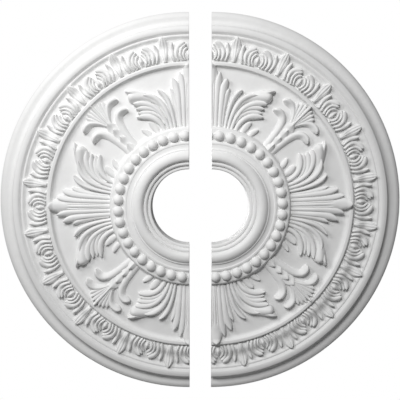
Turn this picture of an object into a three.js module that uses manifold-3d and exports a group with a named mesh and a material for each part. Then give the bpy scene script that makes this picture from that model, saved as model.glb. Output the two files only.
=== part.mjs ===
// Two-piece moulded ceiling rose: a round plaque with a centre hole, made as two half discs.
// Millimetres, +Z up. The flat backs lie in the plane y = 0 and the carved face looks along -Y.
import * as THREE from 'three';
import { mergeVertices } from 'three/addons/utils/BufferGeometryUtils.js';
import Module from 'manifold-3d';

// Whole rose
const OUTER_RADIUS = 381;
const BORE_RADIUS = 74.5;
const SPLIT_GAP = 44.6;
const FACETS = 48;

// Collar around the bore: widths outwards from the bore, heights above the flat back
const BORE_LIP_WIDTH = 6.9;
const BORE_LIP_HEIGHT = 33;
const COLLAR_STEP_WIDTH = 3.6;
const COLLAR_FILLET_WIDTH = 4.2;
const COLLAR_FILLET_HEIGHT = 37;
const TORUS_WIDTH = 20.4;
const TORUS_HEIGHT = 44;
const TORUS_FILLET_WIDTH = 3.6;
const TORUS_FILLET_HEIGHT = 38.5;
const SLOPE_WIDTH = 15.4;
const SLOPE_HEIGHT = 34.5;

// Ring of beads in its channel, and the rim that closes it
const BEAD_COUNT = 40;
const BEAD_GAP = 0.6;
const BEAD_TURN = 1.4;
const BEAD_SIDES = 8;
const CHANNEL_CLEARANCE = 0.3;
const CHANNEL_HEIGHT = 31;
const RIM_WIDTH = 5.4;
const RIM_HEIGHT = 35.5;
const RIM_STEP_WIDTH = 6;

// Flat field between the bead rim and the cove, with its carving
const FIELD_HEIGHT = 18;
const FIELD_RELIEF = 12;

// Border: widths inwards from the outer edge, heights above the flat back
const EDGE_ROUND = 3.4;
const EDGE_HEIGHT = 4;
const LIP_WIDTH = 12.3;
const LIP_HEIGHT = 8.5;
const OUTER_COVE_WIDTH = 15.5;
const FLAT_BAND_WIDTH = 13.5;
const FLAT_BAND_HEIGHT = 23.5;
const UPPER_STEP_WIDTH = 4;
const UPPER_STEP_HEIGHT = 19.5;
const LOWER_STEP_WIDTH = 3.1;
const VALLEY_WIDTH = 7.4;
const VALLEY_HEIGHT = 15.5;
const LEAF_BAND_WIDTH = 39.6;
const LEAF_BAND_HEIGHT = 26.5;
const LEAF_BAND_FOOT = 17;
const LEAF_RELIEF = 6;
const LEAF_UNITS = 20;
const COVE_FILLET_WIDTH = 3.4;
const COVE_FILLET_HEIGHT = 29;
const COVE_WIDTH = 8.2;

// How deep carved forms are rooted in the plaque, and how near two vertices are the same one
const ROOT = 2;
const MERGE_DISTANCE = 1e-4;

// Shares of a ring's width: the riser of a step, the flat top of the cove's fillet
const RISER_SHARE = 0.25;
const FILLET_FLAT_SHARE = 0.6;

// Shares of a ring's height: how far a cove hollows, the leaf band swells and the lip falls
const HOLLOW_SHARE = 0.2;
const SWELL_SHARE = 0.25;
const LIP_FALL_SHARE = 0.25;

const wasm = await Module();
wasm.setup();

// Radii of the rings, outwards from the bore
const boreLipRadius = BORE_RADIUS + BORE_LIP_WIDTH;
const collarRadius = boreLipRadius + COLLAR_STEP_WIDTH;
const torusInner = collarRadius + COLLAR_FILLET_WIDTH;
const torusOuter = torusInner + TORUS_WIDTH;
const torusFilletOuter = torusOuter + TORUS_FILLET_WIDTH;
const channelInner = torusFilletOuter + SLOPE_WIDTH;

// The beads fill the ring that their number allows: radius = pitch / 2 at the ring's middle
const pitchShare = Math.sin(Math.PI / BEAD_COUNT);
const beadRing = (channelInner + CHANNEL_CLEARANCE - BEAD_GAP / 2) / (1 - pitchShare);
const beadRadius = beadRing * pitchShare - BEAD_GAP / 2;
const channelOuter = beadRing + beadRadius + CHANNEL_CLEARANCE;
const rimOuter = channelOuter + RIM_WIDTH;
const fieldInner = rimOuter + RIM_STEP_WIDTH;

// Radii of the rings, inwards from the outer edge
const lipOuter = OUTER_RADIUS - EDGE_ROUND;
const lipInner = lipOuter - LIP_WIDTH;
const flatBandOuter = lipInner - OUTER_COVE_WIDTH;
const flatBandInner = flatBandOuter - FLAT_BAND_WIDTH;
const upperStepInner = flatBandInner - UPPER_STEP_WIDTH;
const valleyOuter = upperStepInner - LOWER_STEP_WIDTH;
const leafBandOuter = valleyOuter - VALLEY_WIDTH;
const leafBandInner = leafBandOuter - LEAF_BAND_WIDTH;
const coveFilletInner = leafBandInner - COVE_FILLET_WIDTH;
const fieldOuter = coveFilletInner - COVE_WIDTH;

const mix = (a, b, share) => a + (b - a) * share;
const radians = THREE.MathUtils.degToRad;

// The points between two profile points, lifted off the straight line by half a sine wave:
// bulge > 0 is convex, bulge < 0 is hollow
function sweep(from, to, bulge, steps) {
  const points = [];
  for (let i = 1; i < steps; i += 1) {
    const share = i / steps;
    const lift = bulge * Math.sin(Math.PI * share);
    points.push([mix(from[0], to[0], share), mix(from[1], to[1], share) + lift]);
  }
  return points;
}

// The face of the plaque as radius and height, from the bore to the outer edge
function faceProfile() {
  const torusBulge = TORUS_HEIGHT - (COLLAR_FILLET_HEIGHT + TORUS_FILLET_HEIGHT) / 2;
  const torusStart = [torusInner, COLLAR_FILLET_HEIGHT];
  const torusEnd = [torusOuter, TORUS_FILLET_HEIGHT];
  const coveStart = [fieldOuter, FIELD_HEIGHT];
  const coveEnd = [coveFilletInner, COVE_FILLET_HEIGHT];
  const coveBulge = -(COVE_FILLET_HEIGHT - FIELD_HEIGHT) * HOLLOW_SHARE;
  const hollowStart = [flatBandOuter, FLAT_BAND_HEIGHT];
  const hollowEnd = [lipInner, LIP_HEIGHT];
  const hollowBulge = -(FLAT_BAND_HEIGHT - LIP_HEIGHT) * HOLLOW_SHARE;
  return [
    [BORE_RADIUS, BORE_LIP_HEIGHT],
    [boreLipRadius, BORE_LIP_HEIGHT],
    [collarRadius, COLLAR_FILLET_HEIGHT],
    torusStart,
    ...sweep(torusStart, torusEnd, torusBulge, 3),
    torusEnd,
    [torusFilletOuter, TORUS_FILLET_HEIGHT],
    [mix(torusFilletOuter, channelInner, RISER_SHARE), SLOPE_HEIGHT],
    [channelInner, SLOPE_HEIGHT],
    [channelInner, CHANNEL_HEIGHT],
    [channelOuter, CHANNEL_HEIGHT],
    [mix(channelOuter, rimOuter, RISER_SHARE), RIM_HEIGHT],
    [rimOuter, RIM_HEIGHT],
    [fieldInner, FIELD_HEIGHT],
    coveStart,
    ...sweep(coveStart, coveEnd, coveBulge, 2),
    coveEnd,
    [mix(coveFilletInner, leafBandInner, FILLET_FLAT_SHARE), COVE_FILLET_HEIGHT],
    [leafBandInner, LEAF_BAND_FOOT],
    [leafBandOuter, VALLEY_HEIGHT],
    [valleyOuter, VALLEY_HEIGHT],
    [mix(valleyOuter, upperStepInner, RISER_SHARE), UPPER_STEP_HEIGHT],
    [upperStepInner, UPPER_STEP_HEIGHT],
    [flatBandInner, FLAT_BAND_HEIGHT],
    hollowStart,
    ...sweep(hollowStart, hollowEnd, hollowBulge, 2),
    hollowEnd,
    [lipOuter, mix(LIP_HEIGHT, EDGE_HEIGHT, LIP_FALL_SHARE)],
    [OUTER_RADIUS, EDGE_HEIGHT],
  ];
}

const face = faceProfile();

// Height of the plain face at a radius
function faceHeight(radius) {
  for (let i = 1; i < face.length; i += 1) {
    const [r0, h0] = face[i - 1];
    const [r1, h1] = face[i];
    if (radius <= r1) {
      return mix(h0, h1, THREE.MathUtils.clamp((radius - r0) / (r1 - r0), 0, 1));
    }
  }
  return EDGE_HEIGHT;
}

// Height that the field's carving rises from: the flat field, and the cove where a tip reaches it
function fieldGround(radius) {
  return radius < fieldOuter ? FIELD_HEIGHT : faceHeight(radius);
}

// Height of the rounded surface that the leaf band is carved on
function bandHeight(radius) {
  const share = (radius - leafBandInner) / (leafBandOuter - leafBandInner);
  const bulge = (LEAF_BAND_HEIGHT - LEAF_BAND_FOOT) * SWELL_SHARE;
  const round = bulge * Math.sin(Math.PI * THREE.MathUtils.clamp(share, 0, 1));
  return Math.max(mix(LEAF_BAND_HEIGHT, LEAF_BAND_FOOT, share), VALLEY_HEIGHT) + round;
}

// A closed body from a geometry, for joining and cutting
function solid(geometry) {
  const bare = geometry.clone();
  bare.deleteAttribute('normal');
  bare.deleteAttribute('uv');
  const merged = mergeVertices(bare, MERGE_DISTANCE);
  return new wasm.Manifold(new wasm.Mesh({
    numProp: 3,
    vertProperties: new Float32Array(merged.attributes.position.array),
    triVerts: new Uint32Array(merged.index.array),
  }));
}

// Joins neighbours in pairs until one body is left
function join(bodies) {
  let rest = bodies;
  while (rest.length > 1) {
    const next = [];
    for (let i = 0; i < rest.length; i += 2) {
      next.push(i + 1 < rest.length ? rest[i].add(rest[i + 1]) : rest[i]);
    }
    rest = next;
  }
  return rest[0];
}

function geometryOf(body) {
  const mesh = body.getMesh();
  const geometry = new THREE.BufferGeometry();
  geometry.setAttribute('position', new THREE.BufferAttribute(new Float32Array(mesh.vertProperties), 3));
  geometry.setIndex(new THREE.BufferAttribute(new Uint32Array(mesh.triVerts), 1));
  geometry.computeVertexNormals();
  return geometry;
}

// The plain turned plaque, its axis along Z and its back at z = 0
function plaque() {
  const outline = [[BORE_RADIUS, 0], ...face, [OUTER_RADIUS, 0], [BORE_RADIUS, 0]];
  const points = outline.map(([radius, height]) => new THREE.Vector2(radius, height));
  points.reverse();
  return solid(new THREE.LatheGeometry(points, FACETS).rotateX(Math.PI / 2));
}

// A point at an angle clockwise from the top and at a radius
function place(angle, radius) {
  const turn = radians(angle);
  return new THREE.Vector2(radius * Math.sin(turn), radius * Math.cos(turn));
}

function beads() {
  const top = beadRadius * Math.SQRT1_2;
  const points = [[0, -ROOT], [beadRadius, 0], [top, top], [0, beadRadius]];
  const outline = points.map(([radius, height]) => new THREE.Vector2(radius, height));
  const dome = new THREE.LatheGeometry(outline, BEAD_SIDES).rotateX(Math.PI / 2);
  const bodies = [];
  for (let i = 0; i < BEAD_COUNT; i += 1) {
    const angle = BEAD_TURN + (i + 0.5) * 360 / BEAD_COUNT;
    const spot = place(angle, beadRing);
    const turned = dome.clone().rotateZ(-radians(angle));
    bodies.push(solid(turned.translate(spot.x, spot.y, CHANNEL_HEIGHT)));
  }
  return bodies;
}

// The field's zone and the leaf band's zone: their rings, the surface that carving rises from,
// the level that it is rooted at, and where along a leaf its sections stand, the last one at
// the notches between the lobes
const fieldZone = {
  inner: fieldInner,
  outer: fieldOuter,
  ground: fieldGround,
  root: FIELD_HEIGHT - ROOT,
  relief: FIELD_RELIEF,
  sections: [0, 0.45, 0.8],
};
const bandZone = {
  inner: leafBandInner,
  outer: leafBandOuter,
  ground: bandHeight,
  root: VALLEY_HEIGHT - ROOT,
  relief: LEAF_RELIEF,
  sections: [0, 0.35, 0.72],
};

// Shares of the relief: the edge of a leaf, the furrows between its lobes and its rolled tips
const EDGE_SHARE = 0.35;
const FURROW_SHARE = 0.35;
const TIP_SHARE = 0.55;

// A leaf's middle lines, one for each lobe. Each has a base, a bend and a tip, and each of those
// is an angle off the leaf's axis and a share of its zone; last comes the lobe's crest share.
const SIDE_LEAF = [
  [[9.9, -0.05], [9.4, 0.38], [14.4, 0.69], 0.85],
  [[12, -0.05], [11.8, 0.44], [21, 0.72], 0.95],
  [[14.2, -0.05], [14.4, 0.5], [29, 0.79], 1],
  [[16.4, -0.05], [17.4, 0.38], [29.3, 0.58], 0.95],
  [[18.2, -0.05], [20.1, 0.3], [29.7, 0.4], 0.9],
  [[20.1, -0.05], [21.6, 0.18], [28.6, 0.21], 0.8],
  [[21.8, -0.05], [25.1, 0.09], [32.4, 0.12], 0.7],
];
const MIDDLE_LEAF = [
  [[-6.6, -0.05], [-6.5, 0.4], [-7.4, 0.8], 0.85],
  [[-3.2, -0.05], [-3.1, 0.45], [-4.2, 0.91], 0.9],
  [[0, -0.05], [0, 0.5], [0, 1.04], 1],
  [[3.2, -0.05], [3.1, 0.45], [4.2, 0.91], 0.9],
  [[6.6, -0.05], [6.5, 0.4], [7.4, 0.8], 0.85],
];
const LILY_STEM = [
  [[-4.6, -0.05], [-3.6, 0.66], [-12, 0.55], 0.95],
  [[0, -0.05], [0, 0.3], [0, 0.62], 1],
  [[4.6, -0.05], [3.6, 0.66], [12, 0.55], 0.95],
];
const LILY_FLOWER = [
  [[-0.9, 0.54], [-3.4, 0.96], [-10.7, 0.8], 0.9],
  [[-0.5, 0.54], [-1.8, 0.76], [-4.2, 0.95], 0.7],
  [[0, 0.54], [0, 0.78], [0, 1.04], 0.9],
  [[0.5, 0.54], [1.8, 0.76], [4.2, 0.95], 0.7],
  [[0.9, 0.54], [3.4, 0.96], [10.7, 0.8], 0.9],
];

// One unit of the leaf band, as seen from its scroll: half a pitch before the scroll a pointed
// leaf, then one side of the scroll, its eye and its other side
const BAND_UNIT = [
  [[-9, 0.02], [-9, 0.5], [-9, 1.16], 1],
  [[-4.8, 0.02], [-6.4, 0.64], [-2.2, 1], 0.95],
  [[0, 0.06], [0, 0.3], [0, 0.66], 0.7],
  [[4.8, 0.02], [6.4, 0.64], [2.2, 1], 0.95],
];
const BAND_UNIT_ANGLE = 18;

// Half widths of the outermost lobes, as shares of the zone's width
const LEAF_EDGE = 0.035;
const PETAL_EDGE = 0.05;

// Pointed lobes side by side, with a furrow between each two. Side -1 mirrors them. A leaf ends in
// a low edge on each side; a ring of lobes has an edge of 0 and closes on itself.
function leaf(zone, axis, lobes, edge, side) {
  const { inner, outer, ground, root, relief, sections } = zone;
  const ring = edge === 0;
  const spot = ([angle, share]) => place(axis + side * angle, mix(inner, outer, share));
  const curves = lobes.map(([base, bend, tip]) => (
    new THREE.QuadraticBezierCurve(spot(base), spot(bend), spot(tip))));
  const crests = lobes.map((lobe) => lobe[3]);
  const edgeWidth = side * edge * (outer - inner);
  const last = curves.length - 1;
  const top = [];
  const lift = (point, share) => top.push([point.x, point.y, ground(point.length()) + relief * share]);
  const beside = (curve, along, width) => {
    const heading = curve.getTangent(along);
    return curve.getPoint(along).add(new THREE.Vector2(heading.y, -heading.x).multiplyScalar(width));
  };
  const furrow = (i, j, along) => {
    const middle = curves[i].getPoint(along).add(curves[j].getPoint(along)).multiplyScalar(0.5);
    lift(middle, FURROW_SHARE * Math.min(crests[i], crests[j]));
  };
  for (const along of sections) {
    if (ring) {
      furrow(last, 0, along);
    } else {
      lift(beside(curves[0], along, -edgeWidth), EDGE_SHARE);
    }
    curves.forEach((curve, i) => {
      lift(curve.getPoint(along), crests[i]);
      if (i < last) {
        furrow(i, i + 1, along);
      }
    });
    if (!ring) {
      lift(beside(curves[last], along, edgeWidth), EDGE_SHARE);
    }
  }
  curves.forEach((curve) => lift(curve.getPoint(1), TIP_SHARE));
  return shell(top, leafFaces(curves.length, sections.length, ring), root);
}

// Triangles of a leaf's upper side: strips between its sections, then two to each tip
function leafFaces(lobeCount, sectionCount, ring) {
  const columns = 2 * lobeCount + (ring ? 0 : 1);
  const strips = 2 * lobeCount;
  const faces = [];
  for (let row = 0; row < sectionCount - 1; row += 1) {
    for (let column = 0; column < strips; column += 1) {
      const a = row * columns + column;
      const b = row * columns + (column + 1) % columns;
      faces.push([a, b, b + columns], [a, b + columns, a + columns]);
    }
  }
  const lastRow = (sectionCount - 1) * columns;
  for (let i = 0; i < lobeCount; i += 1) {
    const left = lastRow + 2 * i;
    const right = lastRow + (2 * i + 2) % columns;
    const tip = sectionCount * columns + i;
    faces.push([left, left + 1, tip], [left + 1, right, tip]);
  }
  return faces;
}

// Closes an open upper side with walls and a flat underside at the root's level
function shell(top, faces, root) {
  const count = top.length;
  const vertices = [...top, ...top.map(([x, y]) => [x, y, root])];
  const walls = [];
  const edges = new Set(faces.flatMap(([a, b, c]) => [`${a}_${b}`, `${b}_${c}`, `${c}_${a}`]));
  for (const edge of edges) {
    const [a, b] = edge.split('_').map(Number);
    if (!edges.has(`${b}_${a}`)) {
      walls.push([b, a, a + count], [b, a + count, b + count]);
    }
  }
  const under = faces.map(([a, b, c]) => [c + count, b + count, a + count]);
  const all = [...faces, ...walls, ...under];
  const geometry = new THREE.BufferGeometry();
  geometry.setAttribute('position', new THREE.BufferAttribute(new Float32Array(vertices.flat()), 3));
  geometry.setIndex(facesOutward(all, vertices).flat());
  return solid(geometry);
}

// Turns a closed body's faces over if they point inwards
function facesOutward(faces, vertices) {
  const corners = (index) => new THREE.Vector3(...vertices[index]);
  let volume = 0;
  for (const [a, b, c] of faces) {
    volume += corners(a).dot(corners(b).cross(corners(c)));
  }
  return volume > 0 ? faces : faces.map(([a, b, c]) => [c, b, a]);
}

function palmette(axis) {
  return [
    leaf(fieldZone, axis, SIDE_LEAF, LEAF_EDGE, 1),
    leaf(fieldZone, axis, SIDE_LEAF, LEAF_EDGE, -1),
    leaf(fieldZone, axis, MIDDLE_LEAF, LEAF_EDGE, 1),
  ];
}

function lily(axis) {
  return [
    leaf(fieldZone, axis, LILY_STEM, PETAL_EDGE, 1),
    leaf(fieldZone, axis, LILY_FLOWER, PETAL_EDGE, 1),
  ];
}

function carving() {
  const bodies = [];
  for (let quarter = 0; quarter < 4; quarter += 1) {
    const axis = quarter * 90;
    bodies.push(...palmette(axis), ...lily(axis + 45));
  }
  return bodies;
}

// The band's units run on as one ring, and their angles close up if there are more of them
function leafBand() {
  const pitch = 360 / LEAF_UNITS;
  const turned = (unit, [angle, share]) => [unit * pitch + angle * pitch / BAND_UNIT_ANGLE, share];
  const lobes = [];
  for (let unit = 0; unit < LEAF_UNITS; unit += 1) {
    for (const [base, bend, tip, crest] of BAND_UNIT) {
      lobes.push([turned(unit, base), turned(unit, bend), turned(unit, tip), crest]);
    }
  }
  return leaf(bandZone, 0, lobes, 0, 1);
}

const whole = join([plaque(), ...beads(), ...carving(), leafBand()]);

// One half of the rose: side -1 is the left half as seen from the front
function half(name, side) {
  const reach = 2 * OUTER_RADIUS;
  const keep = new THREE.BoxGeometry(reach, 2 * reach, 2 * reach).translate(side * reach / 2, 0, 0);
  const material = new THREE.MeshStandardMaterial({ color: 0xf1f1ef, roughness: 0.7, metalness: 0 });
  const mesh = new THREE.Mesh(geometryOf(whole.intersect(solid(keep))), material);
  mesh.name = name;
  mesh.position.x = side * SPLIT_GAP / 2;
  return mesh;
}

const rose = new THREE.Group();
rose.rotation.x = Math.PI / 2;
rose.add(half('left_half', -1), half('right_half', 1));

export default rose;
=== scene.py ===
import math

import bmesh
import bpy
import numpy as np
from mathutils import Matrix, Vector


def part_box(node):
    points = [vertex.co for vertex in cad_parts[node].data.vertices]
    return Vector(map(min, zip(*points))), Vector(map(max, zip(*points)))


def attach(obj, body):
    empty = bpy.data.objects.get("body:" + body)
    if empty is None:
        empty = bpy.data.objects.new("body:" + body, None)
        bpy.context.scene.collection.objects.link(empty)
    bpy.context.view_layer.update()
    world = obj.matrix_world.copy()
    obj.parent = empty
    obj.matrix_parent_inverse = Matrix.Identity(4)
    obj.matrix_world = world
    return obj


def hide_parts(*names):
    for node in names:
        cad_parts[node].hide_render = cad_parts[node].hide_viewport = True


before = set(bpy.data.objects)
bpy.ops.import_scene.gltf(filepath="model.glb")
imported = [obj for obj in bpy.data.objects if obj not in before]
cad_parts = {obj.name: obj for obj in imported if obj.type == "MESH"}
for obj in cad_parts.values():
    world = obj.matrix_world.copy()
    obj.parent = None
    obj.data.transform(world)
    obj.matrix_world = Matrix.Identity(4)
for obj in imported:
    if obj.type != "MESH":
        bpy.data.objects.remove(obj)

# Sizes of the rose are in millimetres, and angles in degrees clockwise from its top
MM = 0.001

# The turned face, ring by ring: radius, height above the back and rounding of each corner
BORE_AND_LIP = [
    (74.5, 0, 0), (74.5, 31.4, 1), (75.8, 33, 1.2), (79.8, 33, 0.6), (81, 31.2, 0.4),
    (82, 35, 0.6), (84.4, 36.8, 0.8), (87.8, 36.6, 0.4), (88.8, 34.6, 0.4), (89.8, 38.2, 0.4),
]
COLLAR = [
    (92.6, 41.9, 2.6), (98.4, 43.6, 3.6), (105.2, 42.2, 3.2), (109, 39, 1),
    (110.2, 36.6, 0.6), (113, 36.8, 0.6), (114.2, 34.2, 0.6), (117.5, 33.4, 2),
    (122.8, 33.2, 0.4), (123.8, 34.1, 0.7), (127.2, 33.8, 1), (128.8, 32.6, 0.8),
]
BEAD_LEDGE = [(130, 31, 0.8), (153, 31, 0.7), (155.4, 29, 1), (158.8, 20.4, 1.8)]
FIELD_AND_COVE = [
    (162, 18, 1.8), (267.6, 18, 2), (271.8, 19.6, 2), (273.9, 24.4, 1),
    (274.7, 26.2, 0.5), (280, 26.8, 0.9), (282.3, 24.6, 0.7), (283.4, 17.2, 0.4),
]
LEAF_BAND = [
    (290, 20.4, 2), (296, 21.4, 3), (303, 18.6, 3), (309, 15.8, 2), (318, 15, 2), (325.6, 15.4, 1.6),
]
STEP_AND_FLAT_BAND = [
    (330.4, 19.4, 0.5), (332.8, 19.9, 0.5), (333.9, 18.9, 0.3), (338.6, 23.2, 1.2),
    (343.2, 24.1, 2), (348.6, 23.2, 1), (350, 21.4, 0.5), (350.8, 17, 0.9),
]
OUTER_HOLLOW_AND_LIP = [
    (354.4, 11.2, 2.8), (360.4, 7.8, 3), (366, 8.6, 2.4), (371.4, 9.6, 2.5),
    (377, 7.6, 2), (380.4, 4.4, 1.4), (381, 2.2, 0.8), (381, 0, 0),
]
FACE = (
    BORE_AND_LIP + COLLAR + BEAD_LEDGE + FIELD_AND_COVE + LEAF_BAND + STEP_AND_FLAT_BAND
    + OUTER_HOLLOW_AND_LIP
)
CORNER_STEPS = 4
LONGEST_ROUNDING = 0.48
TURN_STEPS = 240
CREASE_ANGLE = 36

# Beads
BEAD_COUNT = 40
BEAD_RING = 139.5
BEAD_RADIUS = 10.2
BEAD_SEAT = 31
BEAD_FOOT = 1.5
BEAD_TURN = 1.4
BEAD_SIDES = 28
BEAD_ROWS = 9

# Leaf band: units round the rose, and how many reach into one half
BAND_UNITS = 20
UNITS_IN_HALF = 12

# Where the carving sits on each half: the palmettes and lilies, the first unit of the leaf band and
# the band's small turns away from even spacing, as pairs of angle and turn
HALVES = {
    "left_half": {
        "side": -1, "palmettes": (180.3, 270.4, 360), "lilies": (224.2, 315.8), "first_unit": 9,
        "band": ((180, -1.3), (225, -0.6), (270, -0.2), (360, 0)),
    },
    "right_half": {
        "side": 1, "palmettes": (-0.3, 88.6, 178), "lilies": (44.5, 133.4), "first_unit": 0,
        "band": ((0, -0.4), (45, -1.2), (90, -2), (120, -2.8), (180, -2.7)),
    },
}

# Kinds of lobe. ground: pairs of radius and height of the surface that it rises from; root: level of
# its underside inside the plaque; relief: height of a full crest; edge and tip: share of the crest
# that its edges have at the base and at the tip; dome: share by which it falls off at the tip;
# flat: how flat-topped it is; lean: how far it rises towards the outside of its curve; late: how
# late it widens; rows and columns: its points along and across
FIELD = {
    "ground": ((268, 18), (274, 21.6)), "root": 15, "relief": 12, "edge": 0.4, "tip": 0.78,
    "dome": 0, "flat": 3, "lean": 0.12, "late": 1, "rows": 28, "columns": 13,
}
SPOON = {**FIELD, "edge": 0.3, "flat": 2, "tip": 0.3, "dome": 0.6, "late": 2}
PETAL = {**FIELD, "edge": 0.32, "flat": 2, "lean": 0.55, "tip": 0.45, "dome": 0.4}
SCALE = {**FIELD, "edge": 0.38, "flat": 1.15, "rows": 16}
BAND = {
    "ground": ((284, 18), (287, 20.6), (290, 21.8), (294, 22.2), (298, 21.4), (303, 19), (308, 17),
               (312, 16.6), (316, 17), (322, 18)),
    "root": 12, "relief": 6.2, "edge": 0.3, "tip": 0.78,
    "dome": 0, "flat": 2, "lean": 0, "late": 1, "rows": 17, "columns": 9,
}

# Lobes, one a line: four Bezier points of the middle line as angle from the pattern's axis and
# radius from the rose's centre; half widths at the base and at the widest place; crest shares at
# the base, the middle and the tip; where along it the tip starts to narrow; how many ridges it has
# across; how pointed the tip is, where 1 is round. Lobes of one side are mirrored to the other.
PALMETTE = [
    ([(3.3, 150), (2.7, 195), (2.5, 236), (4, 262)], (4.4, 6.4), (0.5, 0.85, 1), 0.75, 1, 1.2),
    ([(5.9, 150), (5.5, 200), (5.1, 232), (7.3, 251)], (4.6, 7), (0.5, 0.85, 0.98), 0.72, 1, 1.2),
    ([(7.4, 160), (7, 192), (7.2, 216), (8.9, 234)], (2.8, 4.6), (0.4, 0.6, 0.75), 0.66, 1, 1.2),
    ([(9.8, 150), (9.5, 190), (10.8, 222), (15, 235)], (3.2, 4.7), (0.55, 0.8, 0.95), 0.7, 1, 1.3),
    ([(12.1, 150), (11.9, 190), (14.5, 225), (22.4, 234)], (3.6, 5.3), (0.55, 0.8, 0.95), 0.74, 1, 1.3),
    ([(14.3, 150), (14.6, 190), (18.5, 216), (28.4, 227)], (3.6, 5.6), (0.55, 0.8, 0.88), 0.82, 1, 1),
    ([(15.2, 168), (16, 195), (20, 208.5), (28.4, 216.5)], (3, 5), (0.4, 0.68, 0.72), 0.76, 1, 1),
    ([(16, 170), (17, 190), (21, 201), (28.6, 208)], (2.6, 4.4), (0.4, 0.55, 0.52), 0.72, 1, 1),
    ([(17.5, 150), (17.5, 178), (21.5, 193), (30.2, 202)], (4.4, 5.6), (0.5, 0.75, 0.72), 0.74, 1, 1.2),
    ([(21.8, 148), (22.3, 162), (23.4, 174), (25.4, 183)], (4.4, 6.3), (0.4, 0.46, 0.52), 0.55, 1, 1),
    ([(27.2, 148), (28, 158), (29.2, 168), (31.6, 177)], (4, 5.3), (0.36, 0.42, 0.46), 0.5, 1, 1),
]
PALMETTE_SPOON = [
    ([(13.4, 180), (15, 220), (20.5, 230), (29.3, 242.5)], (4, 12.5), (0.35, 0.6, 1.3), 0.88, 1, 0.7),
    ([(19, 226), (22, 237), (25, 240), (29, 257.5)], (3, 6.5), (0.3, 0.8, 1.4), 0.6, 1, 1.3),
]
PALMETTE_MIDDLE = [
    ([(0, 150), (0, 190), (0, 225), (0, 262)], (6, 9), (0.5, 0.9, 0.95), 0.9, 3, 1),
    ([(0, 205), (0, 236), (0, 260), (0, 276.5)], (2.4, 12.2), (0.2, 0.95, 1.3), 0.66, 1, 1),
]

# Lily: its leaves end as the lower petals, above them are the upper petals and the fan's rays
LILY_LEAVES = [
    ([(3, 150), (3.1, 185), (3.3, 243), (12, 223.5)], (6.6, 7.4), (0.42, 0.52, 1), 0.86, 1, 1.1),
    ([(0.8, 222), (2.5, 240), (5.2, 262), (10.6, 249.5)], (3, 7), (0.55, 0.65, 0.95), 0.84, 1, 1.1),
]
LILY_RAYS = [
    ([(0.6, 224), (2.6, 240), (4, 252), (4.9, 264)], (2.4, 4.4), (0.5, 0.58, 0.66), 0.74, 1, 1.2),
    ([(0.5, 224), (1.7, 240), (2.7, 254), (3.4, 268.5)], (2.4, 4.4), (0.55, 0.62, 0.7), 0.74, 1, 1.2),
    ([(0.3, 224), (0.9, 240), (1.4, 256), (1.8, 271)], (2.4, 4.4), (0.6, 0.66, 0.74), 0.74, 1, 1.2),
]
LILY_MIDDLE_RAY = [
    ([(0, 222), (0, 240), (0, 258), (0, 275)], (2.4, 3.8), (0.7, 0.85, 1.05), 0.74, 1, 1.4),
]
LILY_SCALES = [
    ([(0, 142), (0, 152), (0, 164), (0, 174)], (11, 10.4), (0.6, 0.75, 0.98), 0.35, 1, 1.6),
    ([(0, 158), (0, 170), (0, 182), (0, 193)], (9, 10.4), (0.2, 0.45, 0.96), 0.4, 1, 1.6),
    ([(0, 176), (0, 189), (0, 202), (0, 212)], (9, 10.4), (0.2, 0.45, 0.94), 0.4, 1, 1.6),
    ([(0, 194), (0, 207), (0, 218), (0, 229)], (9, 11.4), (0.2, 0.45, 0.9), 0.45, 1, 1.6),
]

# Unit of the leaf band: arcs of the scroll round its eye, and the leaf that follows it
BAND_SCROLL = [
    ([(1.2, 286), (2.4, 291), (2.4, 304), (0.5, 309.5)], (2.1, 2.8), (0.8, 0.9, 1), 0.8, 1, 1),
    ([(2.3, 285), (3.8, 292), (3.4, 311), (0.9, 315.5)], (2.5, 3.2), (0.85, 0.95, 1.1), 0.8, 1, 1),
    ([(3.9, 285), (5.5, 295), (4.9, 314), (1.5, 319)], (2.8, 5.2), (0.85, 0.95, 1.25), 0.8, 1, 1),
    ([(5.5, 285), (6.6, 294), (6.5, 308), (5.8, 319.5)], (2.6, 4), (0.85, 0.7, 1.45), 0.7, 1, 1.1),
]
BAND_EYE = [([(0, 288), (0, 292), (0, 299), (0, 306)], (2.6, 4.2), (0.5, 1.1, 1), 0.45, 1, 1.5)]
BAND_LEAF = [([(0, 285), (0, 300), (0, 316), (0, 331.5)], (4, 9), (0.85, 0.65, 1.5), 0.7, 3, 1.3)]

# Cross-section of a lobe: how its edges, domed tip and lean come in along it, its widening foot,
# and the flutes between its ridges
EDGE_GROWTH = 3
DOME_GROWTH = 4
LEAN_START = 0.3
POLE_SHARE = 0.5
DRAFT = 0.1
FLUTE_DEPTH = 0.24
FLUTE_SHARPNESS = 4
FLUTE_RISE = 4
FLUTE_FALL = 5
COLUMNS_A_RIDGE = 6

# Box that parts the halves
CUTTER_REACH = 500

# Matt white primer: drifting tone and roughness, fine orange peel, soft waves of the mould
PRIMER_SPECULAR = 0.4
PRIMER_TONES = ((0.80, 0.80, 0.795, 1), (0.87, 0.87, 0.868, 1))
PRIMER_ROUGHNESS = (0.5, 0.66)
TONE_NOISE = {"scale": 14, "detail": 5}
ROUGHNESS_NOISE = {"scale": 60, "detail": 4}
PEEL_NOISE = {"scale": 900, "detail": 3}
WAVE_NOISE = {"scale": 45, "detail": 3}
PEEL_DEPTH = 0.0004
WAVE_DEPTH = 0.003
BUMP_STRENGTH = 0.25

# Camera: where it looks, from which side and how far, for the 400 by 400 frame
CAMERA_AIM = (-0.00064, 0, 0.01159)
CAMERA_AZIMUTH = -0.19
CAMERA_ELEVATION = 5.13
CAMERA_DISTANCE = 1
CAMERA_LENS = 44.41
CAMERA_SENSOR = 36

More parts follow.
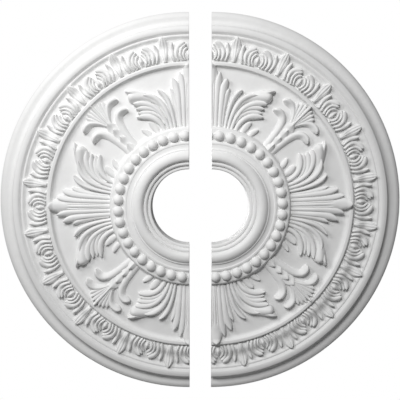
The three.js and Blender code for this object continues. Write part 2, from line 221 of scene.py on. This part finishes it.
# Studio: softboxes with their place, size and power, a faint light from all sides and the floor
FILL = 0.07
SOFTBOXES = {
    "key": ((-0.35, -1.35, 0.95), 0.4, 6.3),
    "side": ((-0.95, -0.8, 0.8), 0.5, 2.9),
    "back": ((-0.4, 1.5, -0.1), 0.8, 5),
}
LIGHT_SPREAD = 110
FLOOR_REACH = 1.25
FLOOR_LEVEL = -1.2
FLOOR_COLOUR = (0.9, 0.9, 0.9, 1)
FLOOR_ROUGHNESS = 0.8


def mix(a, b, share):
    return a + (b - a) * share


def smooth(share):
    share = np.clip(share, 0, 1)
    return share * share * (3 - 2 * share)


def added(name, data):
    """A new object of the scene that shows this mesh, camera or light."""
    obj = bpy.data.objects.new(name, data)
    bpy.context.scene.collection.objects.link(obj)
    return obj


def middle_line(points, t):
    """Points across and outwards, and directions, along a cubic Bezier curve in degrees and radius."""
    p = np.array(points, float)
    share = t[:, None]
    rest = 1 - share
    line = rest**3 * p[0] + 3 * rest**2 * share * p[1] + 3 * rest * share**2 * p[2] + share**3 * p[3]
    angle, radius = np.radians(line[:, 0]), line[:, 1]
    place = np.stack([radius * np.sin(angle), radius * np.cos(angle)], 1)
    heading = np.gradient(place, t, axis=0)
    return place, heading / np.linalg.norm(heading, axis=1, keepdims=True)


def crest_heights(kind, crests, along, turn):
    """Height of a lobe's crest above its ground in each row."""
    low = mix(crests[0], crests[1], smooth(2 * along))
    crest = kind["relief"] * mix(low, crests[2], smooth(2 * along - 1))
    crest[-len(turn):] *= 1 - kind["dome"] * np.sin(turn) ** DOME_GROWTH
    return crest


def surface_heights(kind, crest, edge, along, shares, ridges, side):
    """Height of a lobe above its ground in each row and column."""
    swell = 1 - np.abs(shares) ** kind["flat"]
    furrow = np.abs(np.cos(math.pi * ridges * (shares + 1) / 2)) ** FLUTE_SHARPNESS
    fade = smooth(along * FLUTE_RISE) * smooth((1 - along) * FLUTE_FALL)
    dip = FLUTE_DEPTH * (ridges > 1) * fade[:, None] * furrow
    lean = side * kind["lean"] * smooth(2 * (along - LEAN_START))[:, None] * shares
    return (edge[:, None] + (crest - edge)[:, None] * swell) * (1 - dip) * (1 - lean)


def lobe_faces(last, columns):
    """Faces of a lobe with this many rows before its tip: top, walls, underside and both ends."""
    pole = last * columns
    under = pole + 1
    toe = under + 2 * last
    faces = []
    for i in range(last - 1):
        a, b = i * columns, (i + 1) * columns
        for j in range(columns - 1):
            faces.append((a + j, a + j + 1, b + j + 1, b + j))
        left, right = under + 2 * i, under + 2 * i + 1
        faces.append((a, b, left + 2, left))
        faces.append((b + columns - 1, a + columns - 1, right, right + 2))
        faces.append((left, left + 2, right + 2, right))
    a = (last - 1) * columns
    for j in range(columns - 1):
        faces.append((a + j, a + j + 1, pole))
    left, right = toe - 2, toe - 1
    faces.append((a, pole, toe, left))
    faces.append((pole, a + columns - 1, right, toe))
    faces.append((left, toe, right))
    faces.append((*range(columns - 1, -1, -1), under, under + 1))
    return faces


def lobe(kind, spine, widths, crests, narrows, ridges, point, side=1):
    """One carved lobe as a closed body: its vertices across, outwards and up, and its faces."""
    tip_rows = kind["rows"] // 2
    stem = np.linspace(0, narrows, kind["rows"] - tip_rows, endpoint=False)
    turn = np.linspace(0, math.pi / 2, tip_rows + 1)
    along = np.concatenate([stem, mix(narrows, 1, np.sin(turn))])
    widening = mix(widths[0], widths[1], smooth((stem / narrows) ** kind["late"]))
    width = np.concatenate([widening, widths[1] * np.cos(turn) ** point])
    place, heading = middle_line([(side * degrees, radius) for degrees, radius in spine], along)
    across = np.stack([heading[:, 1], -heading[:, 0]], 1)
    ground = np.interp(np.linalg.norm(place, axis=1), *zip(*kind["ground"]))
    crest = crest_heights(kind, crests, along, turn)
    edge = crest * mix(kind["edge"], kind["tip"], along**EDGE_GROWTH)
    columns = kind["columns"] + COLUMNS_A_RIDGE * (ridges - 1)
    shares = np.sin(np.linspace(-math.pi / 2, math.pi / 2, columns))
    height = surface_heights(kind, crest, edge, along, shares, ridges, side)
    top = place[:, None, :] + across[:, None, :] * (width[:, None] * shares)[:, :, None]
    last = len(along) - 1
    vertices = [(*top[i, j], ground[i] + height[i, j]) for i in range(last) for j in range(columns)]
    vertices.append((*place[last], ground[last] + mix(edge[last], crest[last], POLE_SHARE)))
    for i in range(last):
        reach = width[i] + DRAFT * edge[i]
        vertices.append((*(place[i] - across[i] * reach), kind["root"]))
        vertices.append((*(place[i] + across[i] * reach), kind["root"]))
    vertices.append((*(place[last] + heading[last] * DRAFT * edge[last]), kind["root"]))
    return vertices, lobe_faces(last, columns)


def body(name, vertices, faces):
    """A mesh object from points across, outwards and up: the face looks along -Y."""
    mesh = bpy.data.meshes.new(name)
    mesh.from_pydata([(x * MM, -h * MM, y * MM) for x, y, h in vertices], [], faces)
    shape = bmesh.new()
    shape.from_mesh(mesh)
    bmesh.ops.recalc_face_normals(shape, faces=shape.faces)
    bmesh.ops.triangulate(shape, faces=shape.faces)
    if shape.calc_volume(signed=True) < 0:
        bmesh.ops.reverse_faces(shape, faces=shape.faces)
    shape.to_mesh(mesh)
    shape.free()
    return added(name, mesh)


def combine(obj, other, operation):
    """Joins or cuts two closed bodies; the result stays in the first, and the other is removed."""
    step = obj.modifiers.new("combine", "BOOLEAN")
    step.operation = operation
    step.solver = "MANIFOLD"
    step.object = other
    graph = bpy.context.evaluated_depsgraph_get()
    result = bpy.data.meshes.new_from_object(obj.evaluated_get(graph))
    obj.modifiers.clear()
    old = obj.data
    obj.data = result
    bpy.data.meshes.remove(old)
    bpy.data.objects.remove(other)


def union(bodies):
    """Joins bodies in pairs until one is left."""
    while len(bodies) > 1:
        for first, second in zip(bodies[::2], bodies[1::2]):
            combine(first, second, "UNION")
        bodies = bodies[::2]
    return bodies[0]


def both_sides(kind, table):
    made = []
    for number, row in enumerate(table):
        made += [body(f"lobe_{number}", *lobe(kind, *row, side=side)) for side in (-1, 1)]
    return made


def in_the_middle(kind, table):
    return [body(f"middle_{number}", *lobe(kind, *row, side=0)) for number, row in enumerate(table)]


def palmette():
    lobes = both_sides(FIELD, PALMETTE) + both_sides(SPOON, PALMETTE_SPOON)
    return union(lobes + in_the_middle(FIELD, PALMETTE_MIDDLE))


def lily():
    leaves = both_sides(PETAL, LILY_LEAVES) + both_sides(FIELD, LILY_RAYS)
    return union(leaves + in_the_middle(FIELD, LILY_MIDDLE_RAY) + in_the_middle(SCALE, LILY_SCALES))


def band_unit():
    """A scroll at the top of the band and the leaf half a unit further on."""
    scroll = both_sides(BAND, BAND_SCROLL) + in_the_middle(BAND, BAND_EYE)
    leaf = in_the_middle(BAND, BAND_LEAF)
    for part in leaf:
        part.data.transform(Matrix.Rotation(math.pi / BAND_UNITS, 4, "Y"))
    return union(scroll + leaf)


def bead():
    """One bead at the top of its ring: a dome on a short foot."""
    rings = [(BEAD_RADIUS, -BEAD_FOOT)]
    for row in range(BEAD_ROWS):
        angle = math.pi / 2 * row / BEAD_ROWS
        rings.append((BEAD_RADIUS * math.cos(angle), BEAD_RADIUS * math.sin(angle)))
    vertices = []
    for r, h in rings:
        for side in range(BEAD_SIDES):
            angle = 2 * math.pi * side / BEAD_SIDES
            vertices.append((r * math.sin(angle), BEAD_RING + r * math.cos(angle), BEAD_SEAT + h))
    vertices.append((0, BEAD_RING, BEAD_SEAT + BEAD_RADIUS))
    faces = [tuple(range(BEAD_SIDES))]
    for row in range(len(rings) - 1):
        for side in range(BEAD_SIDES):
            a, b = row * BEAD_SIDES + side, row * BEAD_SIDES + (side + 1) % BEAD_SIDES
            faces.append((a, b, b + BEAD_SIDES, a + BEAD_SIDES))
    top = (len(rings) - 1) * BEAD_SIDES
    for side in range(BEAD_SIDES):
        faces.append((top + side, top + (side + 1) % BEAD_SIDES, len(vertices) - 1))
    return body("bead", vertices, faces)


def ring_of(obj, degrees):
    """Copies of a body that don't touch each other, round the rose, as one mesh."""
    joined = bmesh.new()
    for angle in degrees:
        copy = obj.data.copy()
        copy.transform(Matrix.Rotation(math.radians(angle), 4, "Y"))
        joined.from_mesh(copy)
        bpy.data.meshes.remove(copy)
    mesh = bpy.data.meshes.new(obj.name + "_ring")
    joined.to_mesh(mesh)
    joined.free()
    return added(mesh.name, mesh)


def rounded(corners):
    """A profile with its corners rounded off: radius, height and rounding of each corner."""
    points = []
    for i, (r, h, rounding) in enumerate(corners):
        here = np.array([r, h], float)
        if rounding == 0:
            points.append(here)
            continue
        before = np.array(corners[i - 1][:2], float) - here
        after = np.array(corners[i + 1][:2], float) - here
        reach_in = min(rounding, LONGEST_ROUNDING * np.linalg.norm(before))
        reach_out = min(rounding, LONGEST_ROUNDING * np.linalg.norm(after))
        start = here + before / np.linalg.norm(before) * reach_in
        end = here + after / np.linalg.norm(after) * reach_out
        for t in np.linspace(0, 1, CORNER_STEPS):
            points.append((1 - t) ** 2 * start + 2 * t * (1 - t) * here + t**2 * end)
    return points


def plaque():
    """The turned plaque without its carving."""
    profile = rounded(FACE)
    count = len(profile)
    vertices = []
    faces = []
    for step in range(TURN_STEPS):
        angle = 2 * math.pi * step / TURN_STEPS
        here, there = step * count, (step + 1) % TURN_STEPS * count
        for i, (r, h) in enumerate(profile):
            vertices.append((r * math.sin(angle), r * math.cos(angle), h))
            beside = (i + 1) % count
            faces.append((here + i, here + beside, there + beside, there + i))
    return body("plaque", vertices, faces)


def cutter(side):
    """A box round one half of the rose."""
    reach = CUTTER_REACH * MM
    mesh = bpy.data.meshes.new("cutter")
    shape = bmesh.new()
    bmesh.ops.create_cube(shape, size=2 * reach)
    bmesh.ops.translate(shape, verts=shape.verts, vec=(side * reach, 0, 0))
    shape.to_mesh(mesh)
    shape.free()
    return added("cutter", mesh)


def band_angles(place):
    """Angles of the leaf band's units on one half."""
    even = (place["first_unit"] + np.arange(UNITS_IN_HALF)) * 360 / BAND_UNITS
    return even + np.interp(even, *zip(*place["band"]))


def half(node, place, carving, material):
    """One half of the rose: the plaque with its carving, cut along the split and moved to its node."""
    beads = [BEAD_TURN + (i + 0.5) * 360 / BEAD_COUNT for i in range(BEAD_COUNT)]
    units = band_angles(place)
    rings = [
        ("bead", beads), ("palmette", place["palmettes"]), ("lily", place["lilies"]),
        ("band", units[::2]), ("band", units[1::2]),
    ]
    obj = plaque()
    for pattern, degrees in rings:
        combine(obj, ring_of(carving[pattern], degrees), "UNION")
    combine(obj, cutter(place["side"]), "INTERSECT")
    obj.name = f"{node}_moulding"
    mesh = obj.data
    mesh.name = obj.name
    low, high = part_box(node)
    cut_face = low[0] if place["side"] > 0 else high[0]
    mesh.transform(Matrix.Translation((cut_face, 0, 0)))
    mesh.shade_smooth()
    mesh.set_sharp_from_angle(angle=math.radians(CREASE_ANGLE))
    mesh.materials.clear()
    mesh.materials.append(material)
    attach(obj, "root")
    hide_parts(node)


def primer():
    """Matt white primer on moulded foam: a faint mottle, a fine orange peel and soft mould waves."""
    material = bpy.data.materials.new("white_primer")
    material.use_nodes = True
    nodes, links = material.node_tree.nodes, material.node_tree.links
    shader = nodes["Principled BSDF"]
    shader.inputs["Specular IOR Level"].default_value = PRIMER_SPECULAR
    where = nodes.new("ShaderNodeTexCoord").outputs["Object"]

    def noise(scale, detail):
        node = nodes.new("ShaderNodeTexNoise")
        node.inputs["Scale"].default_value = scale
        node.inputs["Detail"].default_value = detail
        links.new(where, node.inputs["Vector"])
        return node.outputs["Fac"]

    def bump(pattern, depth):
        node = nodes.new("ShaderNodeBump")
        node.inputs["Strength"].default_value = BUMP_STRENGTH
        node.inputs["Distance"].default_value = depth
        links.new(noise(**pattern), node.inputs["Height"])
        return node

    colour = nodes.new("ShaderNodeMix")
    colour.data_type = "RGBA"
    colour.inputs["A"].default_value, colour.inputs["B"].default_value = PRIMER_TONES
    links.new(noise(**TONE_NOISE), colour.inputs["Factor"])
    links.new(colour.outputs["Result"], shader.inputs["Base Color"])
    rough = nodes.new("ShaderNodeMapRange")
    rough.inputs["To Min"].default_value, rough.inputs["To Max"].default_value = PRIMER_ROUGHNESS
    links.new(noise(**ROUGHNESS_NOISE), rough.inputs["Value"])
    links.new(rough.outputs["Result"], shader.inputs["Roughness"])
    peel = bump(PEEL_NOISE, PEEL_DEPTH)
    waves = bump(WAVE_NOISE, WAVE_DEPTH)
    links.new(waves.outputs["Normal"], peel.inputs["Normal"])
    links.new(peel.outputs["Normal"], shader.inputs["Normal"])
    return material


def camera():
    data = bpy.data.cameras.new("camera")
    data.lens = CAMERA_LENS
    data.sensor_width = CAMERA_SENSOR
    data.sensor_fit = "HORIZONTAL"
    obj = added("camera", data)
    a, e = math.radians(CAMERA_AZIMUTH), math.radians(CAMERA_ELEVATION)
    back = Vector((math.sin(a) * math.cos(e), -math.cos(a) * math.cos(e), math.sin(e)))
    obj.location = Vector(CAMERA_AIM) + CAMERA_DISTANCE * back
    obj.rotation_euler = back.to_track_quat("Z", "Y").to_euler()
    bpy.context.scene.camera = obj


def softbox(name, place, size, power):
    data = bpy.data.lights.new(name, "AREA")
    data.shape = "SQUARE"
    data.size = size
    data.energy = power
    data.spread = math.radians(LIGHT_SPREAD)
    obj = added(name, data)
    obj.location = place
    obj.visible_camera = False
    obj.rotation_euler = Vector(place).to_track_quat("Z", "Y").to_euler()


def sky():
    """A world that looks white and gives the rose a little light from all sides."""
    world = bpy.data.worlds.new("studio")
    bpy.context.scene.world = world
    world.use_nodes = True
    nodes, links = world.node_tree.nodes, world.node_tree.links
    background = nodes["Background"]
    background.inputs["Color"].default_value = (1, 1, 1, 1)
    seen = nodes.new("ShaderNodeMix")
    links.new(nodes.new("ShaderNodeLightPath").outputs["Is Camera Ray"], seen.inputs["Factor"])
    seen.inputs["A"].default_value = FILL
    seen.inputs["B"].default_value = 1
    links.new(seen.outputs["Result"], background.inputs["Strength"])


def floor():
    mesh = bpy.data.meshes.new("floor")
    shape = bmesh.new()
    bmesh.ops.create_grid(shape, size=FLOOR_REACH)
    bmesh.ops.translate(shape, verts=shape.verts, vec=(0, 0, FLOOR_LEVEL))
    shape.to_mesh(mesh)
    shape.free()
    paint = bpy.data.materials.new("pale_floor")
    paint.use_nodes = True
    shader = paint.node_tree.nodes["Principled BSDF"]
    shader.inputs["Base Color"].default_value = FLOOR_COLOUR
    shader.inputs["Roughness"].default_value = FLOOR_ROUGHNESS
    mesh.materials.append(paint)
    added("floor", mesh)


def studio():
    sky()
    for name, (place, size, power) in SOFTBOXES.items():
        softbox(name, place, size, power)
    bpy.context.scene.view_settings.view_transform = "Standard"
    floor()


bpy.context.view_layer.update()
camera()
studio()
white = primer()
carving = {"bead": bead(), "palmette": palmette(), "lily": lily(), "band": band_unit()}
for node, place in HALVES.items():
    half(node, place, carving, white)
for pattern in carving.values():
    bpy.data.objects.remove(pattern)
